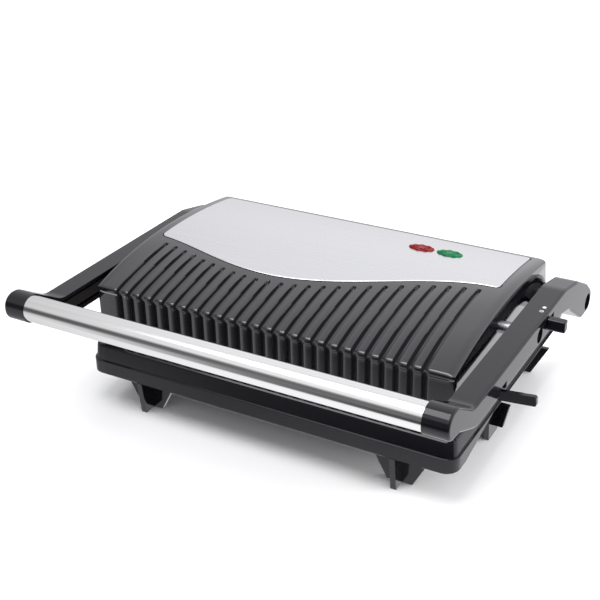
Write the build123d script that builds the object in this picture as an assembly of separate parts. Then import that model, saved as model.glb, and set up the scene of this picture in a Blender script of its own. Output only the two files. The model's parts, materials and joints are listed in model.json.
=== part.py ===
from build123d import *
import math
import os

# A contact grill (panini press): a ribbed lower plate in a tub on feet, and a crowned lid that
# floats between two arms joined by a steel handle tube. The arms hinge at the back of the tub.
# Millimetres. X runs along the handle, Y towards the hinge, Z up, and the feet stand on Z = 0.
# Everything is drawn about the lid's middle plane and moved to the common origin when written.

# ---- Driving dimensions ----
# Shared
GRID_PITCH = 8.95            # grooves of the lid and ribs of both grill plates
GROOVES_EACH_SIDE = 12
WALL = 2.4                   # moulded plastic walls
RUN = 0.06                   # radial clearance of a turning pin
GAP = 0.6                    # air between bodies that move past each other
PIN_R = 4.0                  # hinge pins and lid pivots
HINGE_Y, HINGE_Z = 214.5, 51.5
FLOAT_Y, FLOAT_Z = 109.0, 77.0
ORIGIN_X, ORIGIN_Y = 9.53, 94.53

# Tub: a skirt with a rim band standing on it, one ledge further in
SKIRT_HALF, SKIRT_FRONT, SKIRT_REAR = 131.5, 19.5, 205.0
SKIRT_BOTTOM, SKIRT_TOP, RIM_Z = 23.5, 33.6, 44.4
SKIRT_CORNER = 9.0
SKIRT_LEDGE = 1.2
RIM_INSET = 1.5              # how far the band leans in from its foot to its rim
SIDE_CUT_START, SIDE_CUT_FULL, SIDE_CUT_Z = 38.0, 84.0, 34.5
LUG_IN, LUG_R = 119.0, 8.5

# Bottom pan and grease tray
PAN_HALF, PAN_FRONT, PAN_REAR = 118.0, 23.0, 197.0
PAN_FLOOR, PAN_TOP, PAN_CORNER = 21.5, 33.2, 10.0
VENTS, VENT_PITCH, VENT_WIDTH, VENT_FRONT, VENT_REAR = 7, 12.0, 4.0, 60.0, 95.0
DRAIN_Y, DRAIN_R = 186.0, 5.0
TRAY_HALF, TRAY_FRONT, TRAY_REAR, TRAY_CORNER = 78.0, 140.0, 207.0, 6.0
TRAY_Z, TRAY_TOP, TRAY_WALL = 6.0, 20.0, 1.8
LIP_HALF, LIP_REACH, LIP_THICK = 25.0, 7.0, 2.0
RAIL_GAP, RAIL_WIDTH, RAIL_DROP = 0.8, 3.0, 12.0

# Feet
FRONT_FOOT_X, REAR_FOOT_X = 92.0, 111.0
FIN_HALF, FIN_DEPTH, FIN_FLARE = 1.9, 12.0, 10.0
RIB_DEPTH, RIB_FOOT_HALF, RIB_TOP_HALF = 3.0, 8.5, 20.0
SIDE_FOOT_X, SIDE_FIN, SIDE_TAB = 120.6, 3.4, 8.0

# Grill plates and heating
LOWER_HALF, LOWER_FRONT, LOWER_REAR = 125.0, 25.5, 199.0
LOWER_BACK, LOWER_FACE, LOWER_TIP = 37.0, 40.4, 44.0
UPPER_HALF, UPPER_FRONT, UPPER_REAR = 121.5, 31.6, 184.0
UPPER_BACK, UPPER_FACE, UPPER_TIP = 53.6, 50.2, 46.6
PLATE_CORNER, RIB_ROOT_HALF, RIB_TIP_HALF, RIB_MARGIN = 9.0, 2.2, 1.1, 7.0
HEATER_R, HEATER_HALF, HEATER_FRONT, HEATER_REAR, HEATER_BEND = 3.25, 88.0, 62.0, 176.0, 28.0
HEATER_AIR = 0.2
SHIELD_HALF, SHIELD_FRONT, SHIELD_REAR, SHIELD_SHEET, SHIELD_LIP = 112.0, 38.0, 180.0, 0.6, 5.0
LOWER_SHIELD_Z, UPPER_SHIELD_TOP = 26.3, 67.0
THERMOSTAT_Y, THERMOSTAT_R = 110.0, 9.0
FUSE_X, FUSE_Z = 32.0, 33.0
BLOCK_X, BLOCK_HALF, BLOCK_FRONT, BLOCK_REAR, BLOCK_TOP = -45.0, 15.0, 183.0, 192.0, 32.0
INLET_X, INLET_Z, INLET_R, INLET_BORE, INLET_COLLAR = 60.0, 28.0, 5.0, 4.0, 8.0
SCREW_R, SCREW_HEAD_R = 1.5, 3.0
BASE_SCREW_SPOTS = [(x, y) for x in (-100, 100) for y in (60, 150)]

# Arms and handle
ARM_OUT, ARM_IN = 148.0, 132.5          # outer and inner face of an arm, from the middle plane
ARM_TOP, ARM_UNDER, ARM_EDGE = 86.0, 70.5, 1.8
TUBE_Y, TUBE_Z, TUBE_R, TUBE_WALL = -26.0, 91.7, 8.4, 0.8
NOSE_R = 8.6
STRAP_IN, STRAP = ARM_IN + 1.0, 2.0
PLUG_IN, HANDLE_SCREW_IN, HANDLE_SCREW_R = 112.0, 118.0, 2.0

# Lock slider and height lever on the right arm
LOCK_Y, LOCK_Z, LOCK_TRAVEL = 124.0, 78.6, 5.5
KNOB_REACH, KNOB_HALF, KNOB_TALL, KNOB_EDGE = 11.5, 3.0, 4.0, 1.4
LEVER_X, LEVER_Y, LEVER_Z = 140.0, 50.0, 66.4
LEVER_REACH, LEVER_RISE = 27.0, 5.0
LEVER_HALF, LEVER_THICK, LEVER_EYE, LEVER_PIN_R = 3.4, 2.8, 3.6, 1.5

# Lid
LID_HALF, LID_FRONT, LID_REAR, LID_BOTTOM = 126.0, 27.0, 188.7, 47.0
LID_WALL, LID_CORNER, LID_SHOULDER_Z = 3.0, 5.0, 74.0
CROWN = [(LID_FRONT, 85.7), (68, 95.0), (118, 98.2), (184.5, 92.0)]
GROOVE_DEPTH, GROOVE_HALF, GROOVE_FOOT_Z = 1.3, 1.7, 51.0
TIP_TO_SHEET = 6.5           # from a groove's rear end to the steel sheet's front edge
SHEET, SHEET_HALF, SHEET_REAR = 0.6, 117.2, 179.0
LAMPS = {"red": 49.5, "green": 69.6}
LAMP_Y, LAMP_Z, LAMP_DEPTH = 154.0, 96.5, 7.6
LAMP_LONG, LAMP_SHORT = 9.0, 5.4      # half axes of the oval lenses
CROWN_FALL = 5.8             # degrees the crown slopes down to the rear at the lamps
LAMP_PLAY = 0.2
HOLDER_LOW, HOLDER_HIGH, HOLDER_Z, HOLDER_TOP = 36.0, 84.0, 83.0, 87.0
LID_SCREW_R, BOSS_R, BOSS_Z, LID_SCREW_TOP = 1.6, 4.0, 69.0, 80.0
LID_SCREW_SPOTS = [(x, y) for x in (-115.5, 115.5) for y in (48, 168)]

# ---- Outlines and helpers ----


def rounded_face(corners, radii):
    """A flat face from its corner points, each rounded to its own radius."""
    return make_face(FilletPolyline(*corners, radius=radii, close=True))


def side_slab(face, x_start, x_end):
    """Extrude a face drawn in (Y, Z) between two X positions."""
    return extrude(Plane.YZ.offset(x_start) * face, amount=x_end - x_start)


def tray_box(x_half, y_front, y_rear, corner, z_low, z_high, inset=0.0):
    """A rounded block whose top is drawn in by inset on every side."""
    place = Pos(0, (y_front + y_rear) / 2, 0)
    depth = y_rear - y_front
    low = place * Pos(0, 0, z_low) * RectangleRounded(2 * x_half, depth, corner)
    if inset == 0:
        return extrude(low, amount=z_high - z_low)
    high = place * Pos(0, 0, z_high) * RectangleRounded(
        2 * (x_half - inset), depth - 2 * inset, corner - inset / 2)
    return loft([low, high])


def x_cylinder(radius, x_start, x_end, y, z):
    """A cylinder along X."""
    return Pos((x_start + x_end) / 2, y, z) * Rot(0, 90, 0) * Cylinder(radius, abs(x_end - x_start))


def z_cylinder(radius, x, y, z_low, z_high):
    """A cylinder along Z."""
    return Pos(x, y, (z_low + z_high) / 2) * Cylinder(radius, z_high - z_low)


def block(x_low, x_high, y_low, y_high, z_low, z_high):
    """A box from its limits."""
    size = (x_high - x_low, y_high - y_low, z_high - z_low)
    centre = ((x_low + x_high) / 2, (y_low + y_high) / 2, (z_low + z_high) / 2)
    return Pos(*centre) * Box(*size)


def side_block(side, x_near, x_far, y_low, y_high, z_low, z_high):
    """A box on the right (side 1) or left (side -1), from its distances to the middle plane."""
    near, far = side * x_near, side * x_far
    return block(min(near, far), max(near, far), y_low, y_high, z_low, z_high)


def both_sides(solid):
    """The same solid on the right and, mirrored, on the left."""
    return {"right": solid, "left": mirror(solid, about=Plane.YZ)}


groove_places = [k * GRID_PITCH for k in range(-GROOVES_EACH_SIDE, GROOVES_EACH_SIDE + 1)]
nodes = {}

# ---- Tub, bottom pan and feet ----


def make_tub():
    """Skirt and sloped rim band, open above and below, with the two hinge lugs at the back."""
    skirt = tray_box(SKIRT_HALF, SKIRT_FRONT, SKIRT_REAR, SKIRT_CORNER, SKIRT_BOTTOM, SKIRT_TOP)
    half, front, rear = SKIRT_HALF - SKIRT_LEDGE, SKIRT_FRONT + SKIRT_LEDGE, SKIRT_REAR - SKIRT_LEDGE
    band = tray_box(half, front, rear, SKIRT_CORNER, SKIRT_TOP, RIM_Z, RIM_INSET)
    inner = tray_box(SKIRT_HALF - WALL, SKIRT_FRONT + WALL, SKIRT_REAR - WALL,
                     SKIRT_CORNER - WALL, SKIRT_BOTTOM, SKIRT_TOP)
    inner_band = tray_box(half - WALL, front + WALL, rear - WALL, SKIRT_CORNER - WALL,
                          SKIRT_TOP, RIM_Z, RIM_INSET)
    below, behind = SKIRT_BOTTOM - 1, SKIRT_REAR + 1
    side_cut_face = make_face(Polyline((SIDE_CUT_START, below), (SIDE_CUT_FULL, SIDE_CUT_Z),
                                       (behind, SIDE_CUT_Z), (behind, below), close=True))
    side_cut = side_slab(side_cut_face, PAN_HALF + 2, SKIRT_HALF + 1)
    tub = skirt + band - inner - inner_band - side_cut - mirror(side_cut, about=Plane.YZ)
    root = SKIRT_REAR - 4
    lug_face = rounded_face([(root, SIDE_CUT_Z), (HINGE_Y + 4, SIDE_CUT_Z + 4),
                             (HINGE_Y + LUG_R, HINGE_Z + LUG_R), (HINGE_Y - LUG_R, HINGE_Z + LUG_R),
                             (root, RIM_Z - 4)], [0, 6, LUG_R - 0.3, LUG_R - 0.3, 0])
    for lug in both_sides(side_slab(lug_face, LUG_IN, ARM_IN - GAP)).values():
        tub = tub + lug
    for side in (-1, 1):
        tub = tub - x_cylinder(PIN_R, side * LUG_IN, side * ARM_IN, HINGE_Y, HINGE_Z)
    return tub


def make_pan():
    """Bottom cover: a shallow pan with vent slots and a grease drain."""
    pan = tray_box(PAN_HALF, PAN_FRONT, PAN_REAR, PAN_CORNER, PAN_FLOOR, PAN_TOP)
    inside = PAN_FLOOR + WALL
    hollow = tray_box(PAN_HALF - WALL, PAN_FRONT + WALL, PAN_REAR - WALL, PAN_CORNER - WALL, inside, PAN_TOP)
    vents = []
    for i in range(VENTS):
        x = VENT_PITCH * (i - (VENTS - 1) / 2)
        vents.append(block(x - VENT_WIDTH / 2, x + VENT_WIDTH / 2, VENT_FRONT, VENT_REAR, PAN_FLOOR, inside))
    drain = z_cylinder(DRAIN_R, 0, DRAIN_Y, PAN_FLOOR, inside)
    screw_holes = [z_cylinder(SCREW_R, x, y, PAN_FLOOR, inside) for x, y in BASE_SCREW_SPOTS]
    return pan - hollow - vents - drain - screw_holes


def make_tray_rails():
    """Two strips under the pan that guide the grease tray, on each side of it."""
    near = TRAY_HALF + RAIL_GAP
    return Compound([side_block(side, near, near + RAIL_WIDTH, TRAY_FRONT, PAN_REAR - 4,
                                PAN_FLOOR - RAIL_DROP, PAN_FLOOR) for side in (-1, 1)])


def make_foot():
    """A front foot drawn at X = 0: a fin flush with the skirt, crossed by a tapered rib."""
    toe, heel = SKIRT_FRONT + 3, SKIRT_FRONT + 3 + FIN_DEPTH
    step = PAN_FRONT - 0.2
    fin = make_face(Polyline((toe, 0), (heel, 0), (heel + FIN_FLARE, PAN_FLOOR), (step, PAN_FLOOR),
                             (step, SKIRT_BOTTOM), (SKIRT_FRONT + 0.2, SKIRT_BOTTOM), close=True))
    rib = make_face(Polyline((-RIB_TOP_HALF, PAN_FLOOR), (-RIB_FOOT_HALF, 0), (RIB_FOOT_HALF, 0),
                             (RIB_TOP_HALF, PAN_FLOOR), close=True))
    return side_slab(fin, -FIN_HALF, FIN_HALF) + extrude(Plane.XZ.offset(-heel) * rib, amount=RIB_DEPTH)


nodes["base_housing"] = make_tub()
nodes["base_pan"] = make_pan()
nodes["tray_rails"] = make_tray_rails()
front_foot = make_foot()
middle = (SKIRT_FRONT + SKIRT_REAR) / 2
rear_foot = mirror(front_foot, about=Plane.XZ.offset(-middle))
for side_name, side in (("left", -1), ("right", 1)):
    nodes["front_foot_" + side_name] = Pos(side * FRONT_FOOT_X, 0, 0) * front_foot
    nodes["rear_foot_" + side_name] = Pos(side * REAR_FOOT_X, 0, 0) * rear_foot


def make_side_foot():
    """Foot under the side skirt: a fin along Y with a slanted tab on its outer side."""
    fin = make_face(Polyline((97.5, 0), (113, 0), (118, 32), (94.5, 32), close=True))
    tab = make_face(Polyline((98.5, 11.5), (102, 11.5), (113, 20.5), (109.5, 20.5), close=True))
    outer = SIDE_FOOT_X + SIDE_FIN
    return side_slab(fin, SIDE_FOOT_X, outer) + side_slab(tab, outer - 1, outer + SIDE_TAB)


for side_name, foot in both_sides(make_side_foot()).items():
    nodes["side_foot_" + side_name] = foot

# ---- Grill plates and heating ----


def make_grill_plate(x_half, y_front, y_rear, z_back, z_face, rib_tip):
    """A cast plate with ribs running front to back. z_face may be above or below z_back."""
    low, high = min(z_back, z_face), max(z_back, z_face)
    plate = tray_box(x_half, y_front, y_rear, PLATE_CORNER, low, high)
    height = rib_tip - z_face
    rib_section = make_face(Polyline((-RIB_ROOT_HALF, 0), (RIB_ROOT_HALF, 0), (RIB_TIP_HALF, height),
                                     (-RIB_TIP_HALF, height), close=True))
    ribs = []
    for x in groove_places:
        plane = Plane(origin=(x, y_rear - RIB_MARGIN, z_face), x_dir=(1, 0, 0), z_dir=(0, -1, 0))
        ribs.append(extrude(plane * rib_section, amount=y_rear - y_front - 2 * RIB_MARGIN))
    return plate + ribs


def make_heater(z):
    """A sheathed element bent to a U, with its two cold ends at the back."""
    x, front, rear = HEATER_HALF, HEATER_FRONT, HEATER_REAR
    route = FilletPolyline((-x, rear, z), (-x, front, z), (x, front, z), (x, rear, z), radius=HEATER_BEND)
    return sweep(Plane(origin=(-x, rear, z), z_dir=(0, -1, 0)) * Circle(HEATER_R), path=route)


def make_shield(z_low):
    """A pressed reflector sheet with a turned-up edge."""
    top, sheet = z_low + SHIELD_LIP, SHIELD_SHEET
    outer = tray_box(SHIELD_HALF, SHIELD_FRONT, SHIELD_REAR, PLATE_CORNER, z_low, top)
    return outer - tray_box(SHIELD_HALF - sheet, SHIELD_FRONT + sheet, SHIELD_REAR - sheet,
                            PLATE_CORNER - sheet, z_low + sheet, top)


def make_thermostat():
    """A round thermostat under the lower plate, on its fixing strap."""
    body = z_cylinder(THERMOSTAT_R, 0, THERMOSTAT_Y, LOWER_SHIELD_Z + 0.9, LOWER_BACK - 0.2)
    return body + block(-3, 3, THERMOSTAT_Y - 13, THERMOSTAT_Y + 13,
                        LOWER_SHIELD_Z + 1.2, LOWER_SHIELD_Z + 2.2)


def make_terminal_block():
    """Three-way wire terminal on the floor of the pan."""
    body = block(BLOCK_X - BLOCK_HALF, BLOCK_X + BLOCK_HALF, BLOCK_FRONT, BLOCK_REAR,
                 PAN_FLOOR + WALL, BLOCK_TOP)
    middle_y = (BLOCK_FRONT + BLOCK_REAR) / 2
    return body - [z_cylinder(SCREW_R, BLOCK_X + dx, middle_y, BLOCK_TOP - 5, BLOCK_TOP)
                   for dx in (-10, 0, 10)]


nodes["lower_grill_plate"] = make_grill_plate(LOWER_HALF, LOWER_FRONT, LOWER_REAR, LOWER_BACK, LOWER_FACE,
                                              LOWER_TIP) \
    - z_cylinder(DRAIN_R - 1, 0, DRAIN_Y + 6, LOWER_BACK - 1, LOWER_TIP + 1)
nodes["lower_heating_element"] = make_heater(LOWER_BACK - HEATER_R - HEATER_AIR)
nodes["lower_heat_shield"] = make_shield(LOWER_SHIELD_Z)
nodes["thermostat"] = make_thermostat()
nodes["thermal_fuse"] = x_cylinder(2.0, FUSE_X - 8, FUSE_X + 8, THERMOSTAT_Y, FUSE_Z) \
    + x_cylinder(0.6, FUSE_X - 16, FUSE_X + 16, THERMOSTAT_Y, FUSE_Z)
nodes["terminal_block"] = make_terminal_block()

inlet_place = Pos(INLET_X, SKIRT_REAR, INLET_Z) * Rot(90, 0, 0)
collar = Pos(0, 0, -2.2) * Cylinder(INLET_COLLAR, 4.4)
throat = Pos(0, 0, 2.0) * Cylinder(INLET_R, 4.0)
nodes["cord_inlet"] = inlet_place * (collar + throat - Cylinder(INLET_BORE, 12))
nodes["base_housing"] = nodes["base_housing"] - inlet_place * Cylinder(INLET_R, 12)
nodes["base_screws"] = Compound([z_cylinder(SCREW_R, x, y, PAN_FLOOR, PAN_FLOOR + WALL + 2)
                                 + z_cylinder(SCREW_HEAD_R, x, y, PAN_FLOOR - 2, PAN_FLOOR)
                                 for x, y in BASE_SCREW_SPOTS])

# ---- Grease tray, which slides out at the back ----


def make_drip_tray():
    """A shallow open tray with a finger lip at the rear."""
    outer = tray_box(TRAY_HALF, TRAY_FRONT, TRAY_REAR, TRAY_CORNER, TRAY_Z, TRAY_TOP)
    hollow = tray_box(TRAY_HALF - TRAY_WALL, TRAY_FRONT + TRAY_WALL, TRAY_REAR - TRAY_WALL,
                      TRAY_CORNER - 1, TRAY_Z + TRAY_WALL, TRAY_TOP)
    lip = block(-LIP_HALF, LIP_HALF, TRAY_REAR - 0.5, TRAY_REAR + LIP_REACH, TRAY_TOP - LIP_THICK, TRAY_TOP)
    return outer - hollow + lip


nodes["drip_tray"] = make_drip_tray()

# ---- Arms, straps and handle ----

nose_front, nose_top, nose_under = TUBE_Y - NOSE_R, TUBE_Z + NOSE_R, TUBE_Z - NOSE_R
arm_corners = [(nose_front, nose_top), (-22, nose_top), (1, ARM_TOP), (158, ARM_TOP), (186, 79.8),
               (212, 66.2), (224.5, 56), (222, 43.5), (204, 43.5), (171, 65.5), (150, ARM_UNDER),
               (6, ARM_UNDER), (-19, nose_under - 1), (nose_front, nose_under)]
arm_radii = [8.5, 10, 16, 30, 25, 28, 8.5, 7.5, 6, 25, 25, 25, 10, 8.1]
strap_corners = [(-13, 90), (0, 81.5), (150, 81.5), (178, 74.6), (208, 62), (221, 54), (219, 46.5),
                 (206, 46.5), (172, 69), (150, 74.5), (4, 74.5), (-13, 84)]
strap_radii = [2, 8, 20, 20, 5, 4, 4, 4, 20, 20, 12, 2]


def make_arm():
    """The right arm's plastic cover, hollow from the inner face."""
    profile = rounded_face(arm_corners, arm_radii)
    arm = side_slab(profile, ARM_IN, ARM_OUT)
    outer_rim = arm.faces().sort_by(Axis.X)[-1].edges()
    arm = fillet(outer_rim, ARM_EDGE)
    arm = arm - side_slab(offset(profile, -WALL), ARM_IN, ARM_OUT - WALL)
    nose = x_cylinder(TUBE_R - TUBE_WALL, ARM_IN, ARM_OUT - WALL, TUBE_Y, TUBE_Z)
    arm = arm + nose - x_cylinder(HANDLE_SCREW_R, ARM_IN, ARM_IN + 10, TUBE_Y, TUBE_Z)
    arm = arm - x_cylinder(PIN_R + 1.85, ARM_IN, ARM_OUT, HINGE_Y, HINGE_Z)
    return arm - x_cylinder(PIN_R + 1, ARM_IN, ARM_OUT, FLOAT_Y, FLOAT_Z)


def make_strap():
    """The steel strap inside the right arm that carries both pivots."""
    strap = side_slab(rounded_face(strap_corners, strap_radii), STRAP_IN, STRAP_IN + STRAP)
    for y, z in ((HINGE_Y, HINGE_Z), (FLOAT_Y, FLOAT_Z)):
        strap = strap - x_cylinder(PIN_R + RUN, STRAP_IN, STRAP_IN + STRAP, y, z)
    return strap


arms = both_sides(make_arm())
slot = block(ARM_OUT - WALL, ARM_OUT, LOCK_Y - 5.5, LOCK_Y + 5.5 + LOCK_TRAVEL, LOCK_Z - 2.6, LOCK_Z + 2.6)
notch = block(ARM_OUT - WALL - 1, ARM_OUT, LEVER_Y - 9, LEVER_Y + 2, ARM_UNDER - 1, ARM_UNDER + 5.5)
arms["right"] = arms["right"] - slot - notch
for side_name in ("left", "right"):
    nodes["arm_" + side_name] = arms[side_name]
for side_name, strap in both_sides(make_strap()).items():
    nodes["arm_strap_" + side_name] = strap

nodes["handle_tube"] = x_cylinder(TUBE_R, -ARM_IN, ARM_IN, TUBE_Y, TUBE_Z) \
    - x_cylinder(TUBE_R - TUBE_WALL, -ARM_IN, ARM_IN, TUBE_Y, TUBE_Z)
for side_name, side in (("left", -1), ("right", 1)):
    screw_in, screw_out = side * HANDLE_SCREW_IN, side * (ARM_IN + 10)
    plug = x_cylinder(TUBE_R - TUBE_WALL, side * PLUG_IN, side * ARM_IN, TUBE_Y, TUBE_Z)
    screw = x_cylinder(HANDLE_SCREW_R, screw_in, screw_out, TUBE_Y, TUBE_Z)
    nodes["handle_plug_" + side_name] = plug - screw
    nodes["handle_screw_" + side_name] = screw
    nodes["hinge_pin_" + side_name] = x_cylinder(PIN_R, side * LUG_IN, side * (ARM_OUT - 3.5),
                                                 HINGE_Y, HINGE_Z)
    nodes["lid_pivot_" + side_name] = x_cylinder(PIN_R, side * (LID_HALF - LID_WALL),
                                                 side * (ARM_OUT - 2.5), FLOAT_Y, FLOAT_Z)

# ---- Lock slider and height lever on the right arm ----

knob = block(ARM_OUT + 0.4, ARM_OUT + KNOB_REACH, LOCK_Y - KNOB_HALF, LOCK_Y + KNOB_HALF,
             LOCK_Z - KNOB_TALL, LOCK_Z + KNOB_TALL)
knob = fillet(knob.edges().filter_by(Axis.X), KNOB_EDGE)
knob = fillet(knob.faces().sort_by(Axis.X)[-1].edges(), 0.9)
shank = block(ARM_OUT - WALL - 0.6, ARM_OUT + 0.4, LOCK_Y - 2.6, LOCK_Y + 2.6, LOCK_Z - 2.2, LOCK_Z + 2.2)
keeper = block(ARM_OUT - WALL - 2.4, ARM_OUT - WALL - 0.5, LOCK_Y - 4.5, LOCK_Y + 4.5,
               LOCK_Z - 3.4, LOCK_Z + 3.4)
nodes["lock_knob"] = knob + shank + keeper

bar_half, thick_half = LEVER_HALF - 0.3, LEVER_THICK / 2
bar = Rot(0, -LEVER_RISE, 0) * block(2, LEVER_REACH, -thick_half, thick_half, -bar_half, bar_half)
bar = fillet(bar.faces().sort_by(Axis.X)[-1].edges().filter_by(Axis.Y), 1.2)
eye = z_cylinder(LEVER_EYE, 0, 0, -LEVER_HALF, LEVER_HALF)
pin_hole = z_cylinder(LEVER_PIN_R + RUN, 0, 0, -LEVER_HALF - 1, LEVER_HALF + 1)
nodes["height_lever"] = Pos(LEVER_X, LEVER_Y, LEVER_Z) * (bar + eye - pin_hole)
nodes["lever_pin"] = z_cylinder(LEVER_PIN_R, LEVER_X, LEVER_Y, LEVER_Z - LEVER_HALF, ARM_TOP - WALL)
pin_seat = z_cylinder(LEVER_PIN_R, LEVER_X, LEVER_Y, ARM_UNDER - 1, ARM_UNDER + WALL + 1)
nodes["arm_right"] = nodes["arm_right"] - pin_seat

# ---- Lid ----


def lid_outline(inset=0.0):
    """Side section of the lid, (Y, Z): upright front, crowned top, raked rear and flat underside."""
    front, rear = LID_FRONT + inset, LID_REAR - inset
    crown_ends = [(front, CROWN[0][1] - inset), (CROWN[-1][0] - inset, CROWN[-1][1] - inset)]
    crown = Spline(crown_ends[0], *[(y, z - inset) for y, z in CROWN[1:-1]], crown_ends[1])
    walls = Polyline(crown_ends[1], (rear, LID_SHOULDER_Z), (rear, LID_BOTTOM), (front, LID_BOTTOM),
                     crown_ends[0])
    return make_face(crown + walls)


def wave_y(x):
    """Y of the steel sheet's front edge at x: a shallow S that starts further back on the right."""
    t = x / (GROOVES_EACH_SIDE * GRID_PITCH)
    return 76.6 + 22.8 * t + 46.0 * t**2 - 8.9 * t**3 - 19.0 * t**4


def make_top_plate():
    """Steel sheet that follows the crown behind the wave edge."""
    crown = Spline(*CROWN)
    raised = Spline(*[(y, z + SHEET) for y, z in CROWN])
    ends = [Line(CROWN[0], (CROWN[0][0], CROWN[0][1] + SHEET)),
            Line(CROWN[-1], (CROWN[-1][0], CROWN[-1][1] + SHEET))]
    skin = side_slab(make_face(crown + raised + ends), -SHEET_HALF, SHEET_HALF)
    edge = Spline(*[(x * SHEET_HALF / 8, wave_y(x * SHEET_HALF / 8)) for x in range(-8, 9)])
    sides = Polyline(edge @ 1, (SHEET_HALF, SHEET_REAR), (-SHEET_HALF, SHEET_REAR), edge @ 0)
    plan = extrude(Pos(0, 0, LID_SHOULDER_Z) * make_face(edge + sides), amount=40)
    return skin & plan


def make_lid_shell():
    """Crowned lid with flutes on the front that run up over the top as grooves."""
    outline = lid_outline()
    lid = side_slab(outline, -LID_HALF, LID_HALF)
    plan = RectangleRounded(2 * LID_HALF, LID_REAR - LID_FRONT, LID_CORNER)
    lid = lid & extrude(Pos(0, (LID_FRONT + LID_REAR) / 2, 0) * plan, amount=120)
    inner = side_slab(lid_outline(LID_WALL), -LID_HALF + LID_WALL, LID_HALF - LID_WALL)
    bosses = [z_cylinder(BOSS_R, x, y, BOSS_Z, 100) & inner for x, y in LID_SCREW_SPOTS]
    lid = lid - inner + bosses
    skin = outline - lid_outline(GROOVE_DEPTH)
    cuts = []
    for x in groove_places:
        tip = wave_y(x) - TIP_TO_SHEET
        reach = make_face(Polyline((LID_FRONT - 1, GROOVE_FOOT_Z), (tip, GROOVE_FOOT_Z),
                                   (tip, 110), (LID_FRONT - 1, 110), close=True))
        cuts.append(side_slab(skin & reach, x - GROOVE_HALF, x + GROOVE_HALF))
    lid = lid - cuts
    for x, y in LID_SCREW_SPOTS:
        lid = lid - z_cylinder(LID_SCREW_R, x, y, BOSS_Z - 1, LID_SCREW_TOP)
    for side in (-1, 1):
        lid = lid - x_cylinder(PIN_R, side * (LID_HALF - LID_WALL), side * LID_HALF, FLOAT_Y, FLOAT_Z)
    return lid


nodes["lid_shell"] = make_lid_shell()
nodes["top_plate"] = make_top_plate()
for colour, x in LAMPS.items():
    seat = Pos(x, LAMP_Y, LAMP_Z) * Rot(-CROWN_FALL, 0, 0)
    bore = seat * Pos(0, 0, -8) * extrude(Ellipse(LAMP_LONG + LAMP_PLAY, LAMP_SHORT + LAMP_PLAY), amount=16)
    nodes["lid_shell"] = nodes["lid_shell"] - bore
    nodes["top_plate"] = nodes["top_plate"] - bore
    lens = Pos(0, 0, 1.1 - LAMP_DEPTH) * extrude(Ellipse(LAMP_LONG, LAMP_SHORT), amount=LAMP_DEPTH)
    nodes[colour + "_lamp"] = seat * fillet(lens.edges().sort_by(Axis.Z)[-1], 0.8)
nodes["lamp_holder"] = block(HOLDER_LOW, HOLDER_HIGH, LAMP_Y - LAMP_SHORT, LAMP_Y + LAMP_SHORT,
                             HOLDER_Z, HOLDER_TOP)

nodes["upper_grill_plate"] = make_grill_plate(UPPER_HALF, UPPER_FRONT, UPPER_REAR, UPPER_BACK, UPPER_FACE,
                                              UPPER_TIP)
nodes["upper_heating_element"] = make_heater(UPPER_BACK + HEATER_R + HEATER_AIR)
nodes["upper_heat_shield"] = mirror(make_shield(-UPPER_SHIELD_TOP), about=Plane.XY)
nodes["lid_screws"] = Compound([z_cylinder(LID_SCREW_R, x, y, UPPER_BACK, LID_SCREW_TOP)
                                for x, y in LID_SCREW_SPOTS])

# ---- Output ----

os.makedirs("parts", exist_ok=True)
placed = {name: Pos(-ORIGIN_X, -ORIGIN_Y, 0) * shape for name, shape in nodes.items()}
for name, shape in placed.items():
    export_step(shape, os.path.join("parts", name + ".step"))
box = Compound(list(placed.values())).bounding_box()
print("nodes", len(nodes), "low", box.min, "high", box.max)
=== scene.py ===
import json
import math

import bmesh
import bpy
import numpy as np
from mathutils import Matrix, Vector


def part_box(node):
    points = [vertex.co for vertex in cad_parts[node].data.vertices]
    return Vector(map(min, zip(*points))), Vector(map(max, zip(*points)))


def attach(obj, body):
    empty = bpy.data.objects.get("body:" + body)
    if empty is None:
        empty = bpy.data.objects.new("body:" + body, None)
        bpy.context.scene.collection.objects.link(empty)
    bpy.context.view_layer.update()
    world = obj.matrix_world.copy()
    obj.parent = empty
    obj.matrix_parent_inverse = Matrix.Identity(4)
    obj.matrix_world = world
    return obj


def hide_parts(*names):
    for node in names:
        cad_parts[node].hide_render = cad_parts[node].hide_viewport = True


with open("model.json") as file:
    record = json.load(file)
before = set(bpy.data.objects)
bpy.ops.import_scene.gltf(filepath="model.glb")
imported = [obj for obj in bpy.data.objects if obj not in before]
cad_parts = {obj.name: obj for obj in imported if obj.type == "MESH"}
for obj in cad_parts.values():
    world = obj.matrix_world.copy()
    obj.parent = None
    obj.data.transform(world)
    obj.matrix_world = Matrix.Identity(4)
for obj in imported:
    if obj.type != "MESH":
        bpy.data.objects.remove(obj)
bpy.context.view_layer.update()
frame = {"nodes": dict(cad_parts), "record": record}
nodes = frame["nodes"]

# ---- The design's own coordinates: millimetres, X = 0 in the lid's middle plane, Z = 0 at the feet ----
LID_HALF, LID_FRONT, LID_REAR, LID_BOTTOM = 126.0, 27.0, 188.7, 47.0
LID_LOW, LID_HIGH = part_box("lid_shell")
MM = 0.001
ZERO = Vector(((LID_LOW.x + LID_HIGH.x) / 2, LID_LOW.y - LID_FRONT * MM, 0))


def at(x, y, z):
    """A design point in the frame, in metres."""
    return ZERO + Vector((x, y, z)) * MM


# ---- Materials ----

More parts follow.
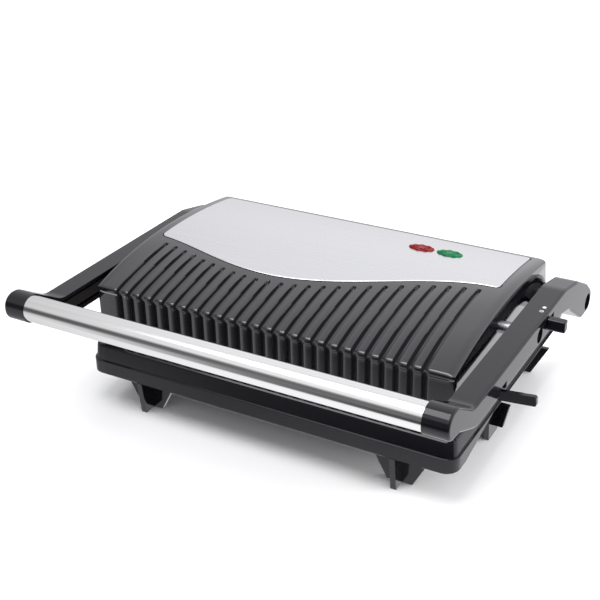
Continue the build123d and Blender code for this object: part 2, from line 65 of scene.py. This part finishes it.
class Shade:
    """A node material: each call adds one node and returns its output."""

    def __init__(self, name):
        self.material = bpy.data.materials.new(name)
        self.material.use_nodes = True
        self.tree = self.material.node_tree
        self.shader = self.tree.nodes["Principled BSDF"]
        self.point = self.add("ShaderNodeTexCoord").outputs["Object"]

    def add(self, kind, **inputs):
        node = self.tree.nodes.new(kind)
        for key, value in inputs.items():
            self.put(node.inputs[key.replace("_", " ")], value)
        return node

    def put(self, socket, value):
        if isinstance(value, bpy.types.NodeSocket):
            self.tree.links.new(value, socket)
        else:
            socket.default_value = value

    def stretched(self, scale):
        mapping = self.add("ShaderNodeMapping", Vector=self.point)
        mapping.inputs["Scale"].default_value = scale
        return mapping.outputs["Vector"]

    def noise(self, scale, detail=4.0, vector=None):
        node = self.add("ShaderNodeTexNoise", Scale=scale, Detail=detail, Vector=vector or self.point)
        return node.outputs["Fac"]

    def span(self, value, low, high, from_low=0.0, from_high=1.0):
        node = self.add("ShaderNodeMapRange", Value=value)
        node.inputs["From Min"].default_value = from_low
        node.inputs["From Max"].default_value = from_high
        node.inputs["To Min"].default_value = low
        node.inputs["To Max"].default_value = high
        return node.outputs["Result"]

    def colours(self, value, low, high):
        node = self.tree.nodes.new("ShaderNodeMix")
        node.data_type = "RGBA"
        self.put(node.inputs[0], value)
        node.inputs[6].default_value = (*low, 1)
        node.inputs[7].default_value = (*high, 1)
        return node.outputs[2]

    def bump(self, height, strength, distance):
        node = self.add("ShaderNodeBump", Height=height, Strength=strength, Distance=distance)
        self.put(self.shader.inputs["Normal"], node.outputs["Normal"])

    def set(self, **inputs):
        for key, value in inputs.items():
            self.put(self.shader.inputs[key.replace("_", " ")], value)


def moulded_plastic(name, low, high, rough_low, rough_high, grain, coat=0.0):
    """Moulded plastic: faint mottling, uneven gloss and a fine surface ripple."""
    shade = Shade(name)
    shade.set(Base_Color=shade.colours(shade.noise(35), low, high))
    shade.set(Roughness=shade.span(shade.noise(60, 6), rough_low, rough_high, 0.3, 0.7))
    shade.bump(shade.noise(420, 3), grain, 0.0002)
    shade.set(Coat_Weight=coat, Coat_Roughness=0.06)
    return shade.material


def brushed_metal(name, colour, rough_low, rough_high, along, grain=0.05):
    """Steel with hairlines that run along one axis."""
    shade = Shade(name)
    scale = [900.0, 900.0, 900.0]
    scale[along] = 6.0
    hair = shade.noise(1.0, 3, shade.stretched(scale))
    shade.set(Base_Color=shade.colours(hair, [c * 0.94 for c in colour], colour), Metallic=1.0)
    shade.set(Roughness=shade.span(hair, rough_low, rough_high, 0.3, 0.7))
    shade.bump(hair, grain, 0.0001)
    return shade.material


def cast_coating(name):
    """Dark non-stick coating on cast aluminium."""
    shade = Shade(name)
    speck = shade.noise(900, 5)
    shade.set(Base_Color=shade.colours(speck, (0.012, 0.012, 0.013), (0.035, 0.035, 0.038)))
    shade.set(Roughness=shade.span(shade.noise(80), 0.32, 0.5, 0.3, 0.7))
    shade.bump(speck, 0.25, 0.0002)
    return shade.material


def lens(name, low, high):
    """Moulded translucent lens."""
    shade = Shade(name)
    shade.set(Base_Color=shade.colours(shade.noise(300), low, high))
    shade.set(Roughness=shade.span(shade.noise(200), 0.08, 0.2))
    shade.set(Specular_IOR_Level=0.2)
    shade.bump(shade.noise(500, 2), 0.1, 0.0002)
    return shade.material


BLACK = (0.004, 0.004, 0.006), (0.007, 0.007, 0.009)
CREAM = (0.22, 0.21, 0.19), (0.28, 0.27, 0.25)
# Painted shade: near-black for the strip round the steel sheet, standing in for the shade in the groove at
# the sheet's edge
SEAM_SHADE = (0.002, 0.002, 0.002), (0.004, 0.004, 0.004)
PRINT = (0.75, 0.75, 0.75), (0.82, 0.82, 0.82)
MATERIALS = {
    "black_plastic": moulded_plastic("black_gloss", *BLACK, 0.07, 0.13, 0.04),
    "lid_plastic": moulded_plastic("lid_gloss", *BLACK, 0.07, 0.13, 0.04, 1.0),
    "inner_plastic": moulded_plastic("inner_plastic", *CREAM, 0.5, 0.65, 0.3),
    "nonstick_aluminium": cast_coating("nonstick"),
    "heater_steel": brushed_metal("heater_steel", (0.16, 0.15, 0.14), 0.35, 0.5, 0),
    "reflector_steel": brushed_metal("reflector_steel", (0.68, 0.68, 0.68), 0.25, 0.4, 0),
    "fastener_steel": brushed_metal("fastener_steel", (0.5, 0.5, 0.52), 0.25, 0.4, 0),
    "brushed_steel": brushed_metal("brushed_steel", (0.79, 0.79, 0.80), 0.24, 0.31, 0, 0.02),
    "tube_steel": brushed_metal("tube_steel", (0.88, 0.87, 0.86), 0.13, 0.18, 0, 0.01),
    # Painted shade: the seam material darkens the strip that stands for the shaded groove round the steel
    # sheet
    "seam_black": moulded_plastic("seam_black", *SEAM_SHADE, 0.6, 0.8, 0.1),
    "print_white": moulded_plastic("print_white", *PRINT, 0.4, 0.5, 0.05),
    "red_lens": lens("red_lens", (0.13, 0.001, 0.003), (0.24, 0.004, 0.008)),
    "green_lens": lens("green_lens", (0.001, 0.09, 0.03), (0.005, 0.17, 0.06)),
}
slot_of = {s["node"]: s["material_slot"] for s in frame["record"]["subparts"]}
for name, node in nodes.items():
    node.data.materials.clear()
    node.data.materials.append(MATERIALS["tube_steel" if name == "handle_tube" else slot_of[name]])


# ---- Mesh helpers ----

def piece(name, verts, faces, material, body, sharp=35):
    """A smooth-shaded mesh from design points, riding on a body."""
    mesh = bpy.data.meshes.new(name)
    mesh.from_pydata([at(*v) for v in verts], [], faces)
    bm = bmesh.new()
    bm.from_mesh(mesh)
    bmesh.ops.remove_doubles(bm, verts=bm.verts, dist=1e-6)
    bmesh.ops.recalc_face_normals(bm, faces=bm.faces)
    bm.to_mesh(mesh)
    bm.free()
    mesh.shade_smooth()
    mesh.set_sharp_from_angle(angle=math.radians(sharp))
    mesh.materials.append(material)
    obj = bpy.data.objects.new(name, mesh)
    bpy.context.scene.collection.objects.link(obj)
    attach(obj, body)
    return obj


def grid_faces(rows, columns, closed_rows=False, closed_columns=False, start=0):
    """Quads of a grid whose points are listed row by row."""
    faces = []
    for r in range(rows if closed_rows else rows - 1):
        for c in range(columns if closed_columns else columns - 1):
            r2, c2 = (r + 1) % rows, (c + 1) % columns
            faces.append((start + r * columns + c, start + r * columns + c2,
                          start + r2 * columns + c2, start + r2 * columns + c))
    return faces


def rounded_path(corners, radii, steps=6):
    """An open 2D path whose corners are rounded to their own radius."""
    points = [Vector(corners[0])]
    for before, corner, after, radius in zip(corners, corners[1:], corners[2:], radii):
        before, corner, after = Vector(before), Vector(corner), Vector(after)
        inward, outward = (before - corner).normalized(), (after - corner).normalized()
        half = inward.angle(outward) / 2
        if radius == 0 or half > math.pi / 2 - 0.01:
            points.append(corner)
            continue
        centre = corner + (inward + outward).normalized() * radius / math.sin(half)
        start = corner + inward * radius / math.tan(half) - centre
        end = corner + outward * radius / math.tan(half) - centre
        turn = start.angle_signed(end)
        for i in range(steps + 1):
            points.append(centre + Matrix.Rotation(-turn * i / steps, 2) @ start)
    points.append(Vector(corners[-1]))
    return points


def spaced(points, step):
    """The same path with long runs divided so that no run is longer than step(point)."""
    out = [points[0]]
    for p, q in zip(points, points[1:]):
        count = max(1, math.ceil((q - p).length / step(p)))
        out += [p.lerp(q, i / count) for i in range(1, count + 1)]
    return out


# ---- Lid: crowned shell with flutes ----
PITCH, FLUTES_EACH_SIDE = 8.95, 12
CROWN = np.polyfit([27.0, 68.0, 118.0, 184.5], [85.7, 95.0, 98.2, 92.0], 3)
SIDE_ROUND, FRONT_ROUND, SIDE_FALL = 6.0, 2.2, 2.6
SIDE_WALL, FRONT_WALL, INSIDE_Z = 3.0, 3.6, 56.0
SHEET_HALF, SHEET_REAR, SHEET_RISE = 117.2, 179.0, 0.3
TIP_TO_SHEET = 6.5
SLOT_DEPTH, SLOT_HALF_REAR, SLOT_HALF_GROWTH = 2.2, 1.55, 0.5
LAND_DROP_REAR, LAND_DROP_GROWTH, LAND_FADE = 0.5, 0.75, 10.0


def crown_z(y):
    """Height of the crown at y."""
    return float(np.polyval(CROWN, y))


def wave_y(x):
    """Front edge of the steel sheet."""
    t = x / (FLUTES_EACH_SIDE * PITCH)
    return 76.6 + 22.8 * t + 46.0 * t**2 - 8.9 * t**3 - 19.0 * t**4


def flute_depth(x, y, z):
    """How deep the surface lies under the crown: a slot per flute, with lands that round over in front."""
    k = max(-FLUTES_EACH_SIDE, min(FLUTES_EACH_SIDE, round(x / PITCH)))
    tip = wave_y(k * PITCH) - TIP_TO_SHEET
    behind = tip - y
    if behind <= 0:
        return 0.0
    run = min(1.0, behind / (tip - LID_FRONT))
    aside = abs(x - k * PITCH)
    half = SLOT_HALF_REAR + SLOT_HALF_GROWTH * run
    if behind < half:
        half *= math.sqrt(max(0.0, 1 - (1 - behind / half) ** 2))
    slot = 0.0
    if half > 0.05 and aside < half:
        slot = SLOT_DEPTH * (1 - (aside / half) ** 3)
    near = max(0.0, 1 - aside / (PITCH / 2))
    land_drop = min(1.0, behind / LAND_FADE) * (LAND_DROP_REAR + LAND_DROP_GROWTH * run)
    rounded = land_drop * (1 - math.sqrt(1 - (0.96 * near) ** 2))
    fade = min(1.0, max(0.0, (z - LID_BOTTOM - 1.5) / 4))
    return fade * (slot + rounded)


def lid_profile():
    """Side section from the front's foot over the crown to the rear's foot."""
    crown = [(y, crown_z(y)) for y in np.arange(LID_FRONT, 182.0, 4.5)]
    corners = [(LID_FRONT + 0.9, LID_BOTTOM), (LID_FRONT + 0.9, 81.0), (LID_FRONT, 82.6), *crown,
               (184.5, crown_z(184.5)), (LID_REAR, 74.0), (LID_REAR, LID_BOTTOM)]
    radii = [0.8, 0.8, 1.9] + [0] * (len(crown) - 1) + [4.0, 8.0]
    path = rounded_path(corners, radii)
    return spaced(path, lambda p: 0.8 if 80 < p.y and p.x < 118 else 2.5)


def lid_columns():
    """X stations: close together where a flute's wall is steep, and round the side edges."""
    across = [-4.475, -3.7, -3.0, -2.4, -2.05, -1.75, -1.5, -1.25, -0.95, -0.5]
    across += [0.0] + [-a for a in reversed(across[1:])]
    inner = [k * PITCH + a for k in range(-FLUTES_EACH_SIDE, FLUTES_EACH_SIDE + 1) for a in across]
    inner.append(-inner[0])
    edge = [LID_HALF - SIDE_ROUND + SIDE_ROUND * math.sin(math.radians(t)) for t in range(0, 91, 9)]
    return [-x for x in reversed(edge)] + inner + edge


def make_lid():
    """The lid's outer skin, sunk by its flutes, with its rim turned in to the inside wall."""
    path = lid_profile()
    columns = lid_columns()
    verts = []
    for i, p in enumerate(path):
        along = (path[min(i + 1, len(path) - 1)] - path[max(i - 1, 0)]).normalized()
        inward = Vector((along.y, -along.x))
        top_share = along.x ** 2
        for x in columns:
            past = max(0.0, abs(x) - (LID_HALF - SIDE_ROUND)) / SIDE_ROUND
            corner = max(0.0, abs(x) - (LID_HALF - FRONT_ROUND)) / FRONT_ROUND
            fall = SIDE_FALL * (1 - math.sqrt(max(0.0, 1 - past**2))) * top_share
            fall += FRONT_ROUND * (1 - math.sqrt(max(0.0, 1 - corner**2))) * (1 - top_share)
            sunk = flute_depth(x, p.x, p.y) + fall
            q = p + inward * sunk
            verts.append((x, q.x, q.y))
    rows, width = len(path), len(columns)
    faces = grid_faces(rows, width)
    faces.append([r * width for r in range(rows)])
    faces.append([r * width + width - 1 for r in range(rows)])
    rim = [*range(width), *reversed(range((rows - 1) * width, rows * width))]
    inner_low, inner_high = len(verts), len(verts) + len(rim)
    limit = LID_HALF - SIDE_WALL
    for z in (LID_BOTTOM, INSIDE_Z):
        for i in rim:
            x, y, _ = verts[i]
            inside_y = max(LID_FRONT + FRONT_WALL, min(LID_REAR - SIDE_WALL, y))
            verts.append((max(-limit, min(limit, x)), inside_y, z))
    count = len(rim)
    for i in range(count):
        j = (i + 1) % count
        faces.append((rim[i], rim[j], inner_low + j, inner_low + i))
        faces.append((inner_low + i, inner_low + j, inner_high + j, inner_high + i))
    lid = piece("lid", verts, faces, MATERIALS["lid_plastic"], "lid", 50)
    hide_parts("lid_shell")


def sheet_span(x):
    """Y of the steel sheet's front and rear edge at x, with its corners rounded."""
    corner = 3.0
    past = max(0.0, abs(x) - (SHEET_HALF - corner)) / corner
    cut = corner * (1 - math.sqrt(max(0.0, 1 - past**2)))
    return wave_y(x) + cut, SHEET_REAR - cut


def make_sheet():
    """Brushed steel sheet on the crown, its edges turned down, with a matte black band of painted shade round
    it for the groove at its edge.
    """
    xs = list(np.linspace(-SHEET_HALF + 3, SHEET_HALF - 3, 79))
    ends = [SHEET_HALF - 3 + 3 * math.sin(math.radians(t)) for t in range(15, 91, 15)]
    xs = [-x for x in reversed(ends)] + xs + ends
    drop = [(0.0, -0.5), (0.0, SHEET_RISE - 0.2), (0.25, SHEET_RISE)]
    verts = []
    for x in xs:
        front, rear = sheet_span(x)
        line = [(front + a, crown_z(front) + b) for a, b in drop]
        line += [(y, crown_z(y) + SHEET_RISE) for y in np.linspace(front + 0.6, rear - 0.6, 40)]
        line += [(rear - a, crown_z(rear) + b) for a, b in reversed(drop)]
        verts += [(x, y, z) for y, z in line]
    per_row = 40 + 2 * len(drop)
    faces = grid_faces(len(xs), per_row)
    sheet = piece("steel_sheet", verts, faces, MATERIALS["brushed_steel"], "lid")
    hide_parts("top_plate")
    # Painted shade: a matte black strip round the sheet's edge stands in for the shade in the groove between
    # the sheet and the lid
    edge = [(x, sheet_span(x)[0]) for x in xs] + [(x, sheet_span(x)[1]) for x in reversed(xs)]
    seam = []
    for i, (x, y) in enumerate(edge):
        ahead, behind = edge[(i + 1) % len(edge)], edge[i - 1]
        along = Vector((ahead[0] - behind[0], ahead[1] - behind[1])).normalized()
        out = Vector((along.y, -along.x))
        for reach, rise in ((-0.3, 0.1), (0.0, 0.12), (0.75, 0.10), (0.95, -0.1)):
            px, py = x + out.x * reach, y + out.y * reach
            seam.append((px, py, crown_z(py) + rise))
    piece("sheet_seam_shade", seam, grid_faces(len(edge), 4, closed_rows=True), MATERIALS["seam_black"], "lid")


# Each ring of a lens: its share of the oval's radius and its height
LAMP_RINGS = [(1.0, -1.5), (1.0, 0.4), (0.92, 0.7), (0.62, 0.9), (0.3, 0.6)]
LAMP_LONG, LAMP_SHORT, LAMP_SIDES, LAMP_TILT = 9.1, 5.5, 18, math.radians(5.8)
LAMP_Y, FACET_RISE = 154.0, 0.5


def make_lamp(colour, x):
    """A low oval lens cut into facets, set flush in the sheet."""
    centre_z = crown_z(LAMP_Y) + 0.1
    verts = []
    for n, (share, rise) in enumerate(LAMP_RINGS):
        for s in range(LAMP_SIDES):
            angle = 2 * math.pi * (s + 0.5 * (n % 2)) / LAMP_SIDES
            dx, dy = LAMP_LONG * share * math.cos(angle), LAMP_SHORT * share * math.sin(angle)
            bumpy = rise + (FACET_RISE if (s + n) % 2 else 0.0) * (n > 1)
            z = centre_z + bumpy - dy * math.sin(LAMP_TILT)
            verts.append((x + dx, LAMP_Y + dy * math.cos(LAMP_TILT), z))
    faces = []
    for f in grid_faces(len(LAMP_RINGS), LAMP_SIDES, closed_columns=True):
        faces += [(f[0], f[1], f[2]), (f[0], f[2], f[3])]
    faces.append([(len(LAMP_RINGS) - 1) * LAMP_SIDES + s for s in range(LAMP_SIDES)])
    lamp = piece(colour + "_lens", verts, faces, MATERIALS[colour + "_lens"], "lid", 3)
    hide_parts(colour + "_lamp")


# ---- Tub ----
SKIRT_HALF, SKIRT_FRONT, SKIRT_REAR, SKIRT_CORNER = 131.5, 19.5, 205.0, 9.0
SKIRT_FOOT, CUT_TOP, CUT_START, CUT_SLOPE, CUT_REAR = 23.5, 33.0, 38.0, 9.5 / 46, 190.0
LUG_OUTLINE = [(201, 34.5), (218.5, 38.5), (223, 60), (206, 60), (201, 40.4)]
LUG_RADII = [0.5, 6, 8.2, 8.2, 0.5]
LUG_INNER, LUG_OUTER, LUG_EDGE = 119, 131.9, 0.8


def ring_path(step=4.0):
    """Points round the tub's plan with their outward directions."""
    out = []
    corners = [(SKIRT_HALF, SKIRT_FRONT, -90), (SKIRT_HALF, SKIRT_REAR, 0), (-SKIRT_HALF, SKIRT_REAR, 90),
               (-SKIRT_HALF, SKIRT_FRONT, 180)]
    for i, (x, y, first) in enumerate(corners):
        cx = x - math.copysign(SKIRT_CORNER, x)
        cy = y + (SKIRT_CORNER if y == SKIRT_FRONT else -SKIRT_CORNER)
        for t in range(0, 91, 9):
            a = math.radians(first + t)
            nx, ny = math.cos(a), math.sin(a)
            out.append((cx + SKIRT_CORNER * nx, cy + SKIRT_CORNER * ny, nx, ny))
        next_x, next_y = corners[(i + 1) % 4][:2]
        next_cy = next_y + (SKIRT_CORNER if next_y == SKIRT_FRONT else -SKIRT_CORNER)
        a = math.radians(first + 90)
        here = Vector(out[-1][:2])
        there = Vector((next_x - math.copysign(SKIRT_CORNER, next_x), next_cy))
        there += Vector((math.cos(a), math.sin(a))) * SKIRT_CORNER
        count = int((there - here).length / step)
        for j in range(1, count):
            p = here.lerp(there, j / count)
            out.append((p.x, p.y, math.cos(a), math.sin(a)))
    return out


def skirt_foot(x, y):
    """Height of the skirt's lower edge: it is cut away along the sides."""
    if abs(x) < SKIRT_HALF - 1.5 and y < CUT_REAR:
        return SKIRT_FOOT
    return min(CUT_TOP, max(SKIRT_FOOT, SKIRT_FOOT + (y - CUT_START) * CUT_SLOPE))


def make_tub():
    """The tub's wall, swept round its plan, and a lug for each hinge pin."""
    # A section point is (outward, above the skirt's lower edge) or (outward, None, height)
    section = [(-2.4, 0), (-0.5, 0), (0, 0.5), (0, None, 33.0), (-0.25, None, 33.4), (-0.8, None, 33.6),
               (-1.25, None, 33.65), (-1.4, None, 34.2), (-2.3, None, 42.6), (-2.7, None, 43.7),
               (-3.5, None, 44.3), (-4.4, None, 44.4), (-5.2, None, 44.4), (-5.5, None, 44.0),
               (-5.2, None, 37.0), (-3.6, None, 34.0), (-2.4, None, 33.4)]
    ring = ring_path()
    verts = []
    for x, y, nx, ny in ring:
        foot = skirt_foot(x, y)
        for point in section:
            z = foot + point[1] if point[1] is not None else point[2]
            verts.append((x + nx * point[0], y + ny * point[0], z))
    faces = grid_faces(len(ring), len(section), closed_rows=True, closed_columns=True)
    tub = piece("tub", verts, faces, MATERIALS["black_plastic"], "base", 30)
    for side, name in ((-1, "left"), (1, "right")):
        slab("hinge_lug_" + name, LUG_OUTLINE, LUG_RADII, side * LUG_INNER, side * LUG_OUTER, LUG_EDGE,
             "base", "black_plastic")
    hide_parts("base_housing")


def slab(name, corners, radii, x_start, x_end, edge, body, slot, segments=3):
    """A plate with a rounded outline drawn in (Y, Z), its rims rounded by edge."""
    middle = [(corners[-1][i] + corners[0][i]) / 2 for i in (0, 1)]
    outline = rounded_path([middle, *corners, middle], radii)[:-1]
    bm = bmesh.new()
    low = [bm.verts.new(at(x_start, p.x, p.y)) for p in outline]
    high = [bm.verts.new(at(x_end, p.x, p.y)) for p in outline]
    caps = [bm.faces.new(low), bm.faces.new(high)]
    for i in range(len(outline)):
        j = (i + 1) % len(outline)
        bm.faces.new((low[i], low[j], high[j], high[i]))
    bmesh.ops.recalc_face_normals(bm, faces=bm.faces)
    rims = [e for cap in caps for e in cap.edges]
    bmesh.ops.bevel(bm, geom=rims, offset=edge * MM, segments=segments, affect="EDGES", profile=0.5)
    mesh = bpy.data.meshes.new(name)
    bm.to_mesh(mesh)
    bm.free()
    mesh.shade_smooth()
    mesh.set_sharp_from_angle(angle=math.radians(40))
    mesh.materials.append(MATERIALS[slot])
    obj = bpy.data.objects.new(name, mesh)
    bpy.context.scene.collection.objects.link(obj)
    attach(obj, body)
    return obj


# ---- Printed marks beside the lock slider: a dot and a ring, no lettering ----
MARK_X, MARK_Z, MARK_RADIUS, MARK_SIDES = 143.6, 86.04, 1.25, 28


def make_mark(name, y, inner):
    """A flat disc or ring of print just above the arm's top face."""
    angles = [2 * math.pi * i / MARK_SIDES for i in range(MARK_SIDES)]
    rim = [(r * math.cos(a), r * math.sin(a)) for r in (inner, MARK_RADIUS) for a in angles]
    verts = [(MARK_X + dx, y + dy, MARK_Z) for dx, dy in rim]
    faces = grid_faces(2, MARK_SIDES, closed_columns=True)
    piece(name, verts, faces, MATERIALS["print_white"], "arms")


make_lid()
make_sheet()
make_lamp("red", 49.5)
make_lamp("green", 69.6)
make_tub()
make_mark("mark_dot", 128.5, 0.0)
make_mark("mark_ring", 123.0, 0.8)


# ---- Stage, light and camera ----

FLOOR_SIZE = 90


def make_stage():
    """A wide white floor that reflections don't show."""
    bpy.ops.mesh.primitive_plane_add(size=FLOOR_SIZE)
    floor = bpy.context.object
    floor.name = "floor"
    shade = Shade("floor_white")
    shade.set(Base_Color=shade.colours(shade.noise(3), (0.93, 0.93, 0.93), (0.96, 0.96, 0.96)))
    shade.set(Roughness=0.7)
    floor.data.materials.append(shade.material)
    floor.visible_glossy = False


def area_light(name, place, aim, size, power):
    """A square light aimed at a point, hidden from reflections so that gloss doesn't mirror it."""
    data = bpy.data.lights.new(name, "AREA")
    data.shape = "RECTANGLE"
    data.size = size
    data.size_y = size
    data.energy = power
    light = bpy.data.objects.new(name, data)
    bpy.context.scene.collection.objects.link(light)
    light.location = place
    light.rotation_euler = (Vector(aim) - Vector(place)).to_track_quat("-Z", "Y").to_euler()
    light.visible_glossy = False


def make_camera():
    """The eye is to the right of the handle's middle and above it, level but for a slight roll."""
    azimuth, elevation, roll = math.radians(29.88), math.radians(27.29), math.radians(-1.3)
    aim = Vector((-0.0403, 0.0346, 0.050))
    distance = 0.7993
    turn = (Matrix.Rotation(azimuth, 4, "Z") @ Matrix.Rotation(math.pi / 2 - elevation, 4, "X")
            @ Matrix.Rotation(roll, 4, "Z"))
    data = bpy.data.cameras.new("camera")
    data.sensor_width = 36.0
    data.lens = 68.49
    camera = bpy.data.objects.new("camera", data)
    bpy.context.scene.collection.objects.link(camera)
    camera.matrix_world = Matrix.Translation(aim + turn.to_3x3() @ Vector((0, 0, distance))) @ turn
    bpy.context.scene.camera = camera


def sun(name, toward, strength, spread):
    """A large soft light that falls along toward."""
    data = bpy.data.lights.new(name, "SUN")
    data.energy = strength
    data.angle = math.radians(spread)
    light = bpy.data.objects.new(name, data)
    bpy.context.scene.collection.objects.link(light)
    light.rotation_euler = Vector(toward).to_track_quat("-Z", "Y").to_euler()


# Brightness of the tent by the height, and then by the side, a reflection looks towards
FRONT_TENT = [(-1.0, 0.9), (-0.6, 0.85), (-0.49, 0.03), (-0.25, 0.02), (-0.05, 0.14), (0.3, 0.1), (0.52, 0.8),
              (1.0, 0.6)]
BACK_TENT = [(-1.0, 0.85), (-0.45, 0.75), (0.0, 0.6), (0.25, 0.8), (0.6, 0.74), (0.72, 0.8), (1.0, 0.6)]
LEFT_GLOW = [(-1.0, 0.9), (-0.62, 0.85), (-0.47, 0.12), (-0.3, 0.0)]
SIDE_TENT = [(-1.0, 0.4), (-0.72, 0.5), (-0.52, 0.88), (-0.3, 0.95), (0.3, 1.0), (1.0, 1.0)]
LOW_BAND = [(-0.62, 0.0), (-0.5, 1.0), (-0.25, 1.0), (0.0, 0.0)]
FRONT_TO_BACK = [(-0.15, 0.0), (0.15, 1.0)]
TENT_TINT, TENT_STRENGTH = (0.97, 0.97, 1.0, 1), 1.4


def make_world():
    """A white tent with an open, dark front, a white table below it and a dimmer left side."""
    world = bpy.data.worlds.new("studio")
    bpy.context.scene.world = world
    world.use_nodes = True
    tree = world.node_tree
    nodes_of, links = tree.nodes, tree.links
    split = nodes_of.new("ShaderNodeSeparateXYZ")
    links.new(nodes_of.new("ShaderNodeTexCoord").outputs["Generated"], split.inputs[0])

    def ramp(axis, stops):
        remap = nodes_of.new("ShaderNodeMapRange")
        remap.inputs["From Min"].default_value = -1
        links.new(split.outputs[axis], remap.inputs["Value"])
        node = nodes_of.new("ShaderNodeValToRGB")
        elements = node.color_ramp.elements
        while len(elements) < len(stops):
            elements.new(0.5)
        for element, (place, level) in zip(elements, stops):
            element.position = (place + 1) / 2
            element.color = (level, level, level, 1)
        links.new(remap.outputs["Result"], node.inputs["Fac"])
        return node.outputs["Color"]

    def mixed(kind, factor, first, second):
        node = nodes_of.new("ShaderNodeMix")
        node.data_type, node.blend_type = "RGBA", kind
        for socket, value in ((node.inputs[0], factor), (node.inputs[6], first), (node.inputs[7], second)):
            if isinstance(value, bpy.types.NodeSocket):
                links.new(value, socket)
            else:
                socket.default_value = value
        return node.outputs[2]

    front = ramp("Z", FRONT_TENT)
    behind = ramp("Z", BACK_TENT)
    low = ramp("Z", LOW_BAND)
    glow = mixed("MULTIPLY", 1.0, ramp("X", LEFT_GLOW), low)
    front = mixed("ADD", 1.0, front, glow)
    tent = mixed("MIX", ramp("Y", FRONT_TO_BACK), front, behind)
    sides = ramp("X", SIDE_TENT)
    lit = mixed("MULTIPLY", 1.0, tent, sides)
    cool = mixed("MULTIPLY", 1.0, lit, TENT_TINT)
    links.new(cool, nodes_of["Background"].inputs["Color"])
    nodes_of["Background"].inputs["Strength"].default_value = TENT_STRENGTH


make_stage()
make_world()
sun("top", (0.1, 0.25, -1), 2.2, 50)
area_light("right", (1.3, 0.5, 0.5), (0.15, 0, 0.06), 1.0, 22)
bpy.context.scene.view_settings.view_transform = "Standard"
make_camera()
